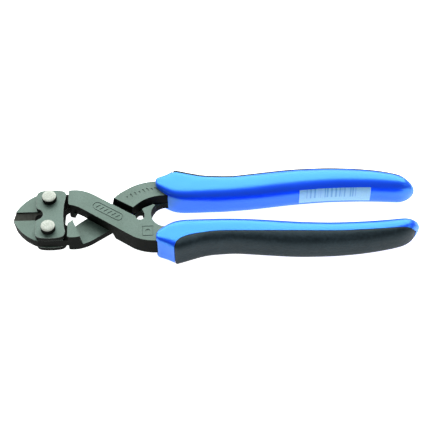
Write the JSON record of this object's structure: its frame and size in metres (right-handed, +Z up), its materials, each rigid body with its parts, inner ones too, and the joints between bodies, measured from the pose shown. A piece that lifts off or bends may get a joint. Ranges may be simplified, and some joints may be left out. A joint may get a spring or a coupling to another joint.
{
  "type": "bolt cutters",
  "caption": "Compact bolt cutters with two crossing jaw levers on pivot pins between link plates, and two-colour moulded grips.",
  "frame": {"origin": "middle of the overall box, on the surface that the tool lies on, with the blades closed", "axes": "+X runs along the tool from the blades to the ends of the grips, +Y goes from the lower grip to the upper grip, +Z is up from the surface, parallel to the pivot pins"},
  "size_m": [0.1999, 0.0484, 0.017],
  "materials": {
    "dark_steel": "forged tool steel, phosphated matte grey-green, slightly brighter on worn edges",
    "ground_steel": "bright ground steel pin ends",
    "blue_plastic": "glossy blue moulded plastic",
    "black_rubber": "fine-textured soft black rubber",
    "label": "pale satin sticker with plain grey stripes"
  },
  "bodies": {
    "link_head": {"front_link_plate": "dark_steel", "rear_link_plate": "dark_steel", "upper_pivot_pin": "ground_steel", "lower_pivot_pin": "ground_steel", "upper_pin_collar": "ground_steel", "lower_pin_collar": "ground_steel"},
    "upper_jaw_arm": {"upper_jaw_lever": "dark_steel", "lower_grip_sleeve": "blue_plastic", "lower_grip_pad": "black_rubber"},
    "lower_jaw_arm": {"lower_jaw_lever": "dark_steel", "upper_grip_sleeve": "blue_plastic", "upper_grip_pad": "black_rubber", "grip_label": "label"}
  },
  "joints": [
    {"name": "upper_jaw_pivot", "type": "hinge", "parent": "link_head", "child": "upper_jaw_arm", "pos_m": [-0.0818, 0.0088, 0.0085], "axis": [0, 0, -1], "range_deg": [0, 16]},
    {"name": "lower_jaw_pivot", "type": "hinge", "parent": "link_head", "child": "lower_jaw_arm", "pos_m": [-0.0818, -0.0088, 0.0085], "axis": [0, 0, 1], "range_deg": [0, 16]}
  ],
  "couplings": [
    {"joint": "lower_jaw_pivot", "follows": "upper_jaw_pivot", "ratio": 1}
  ]
}
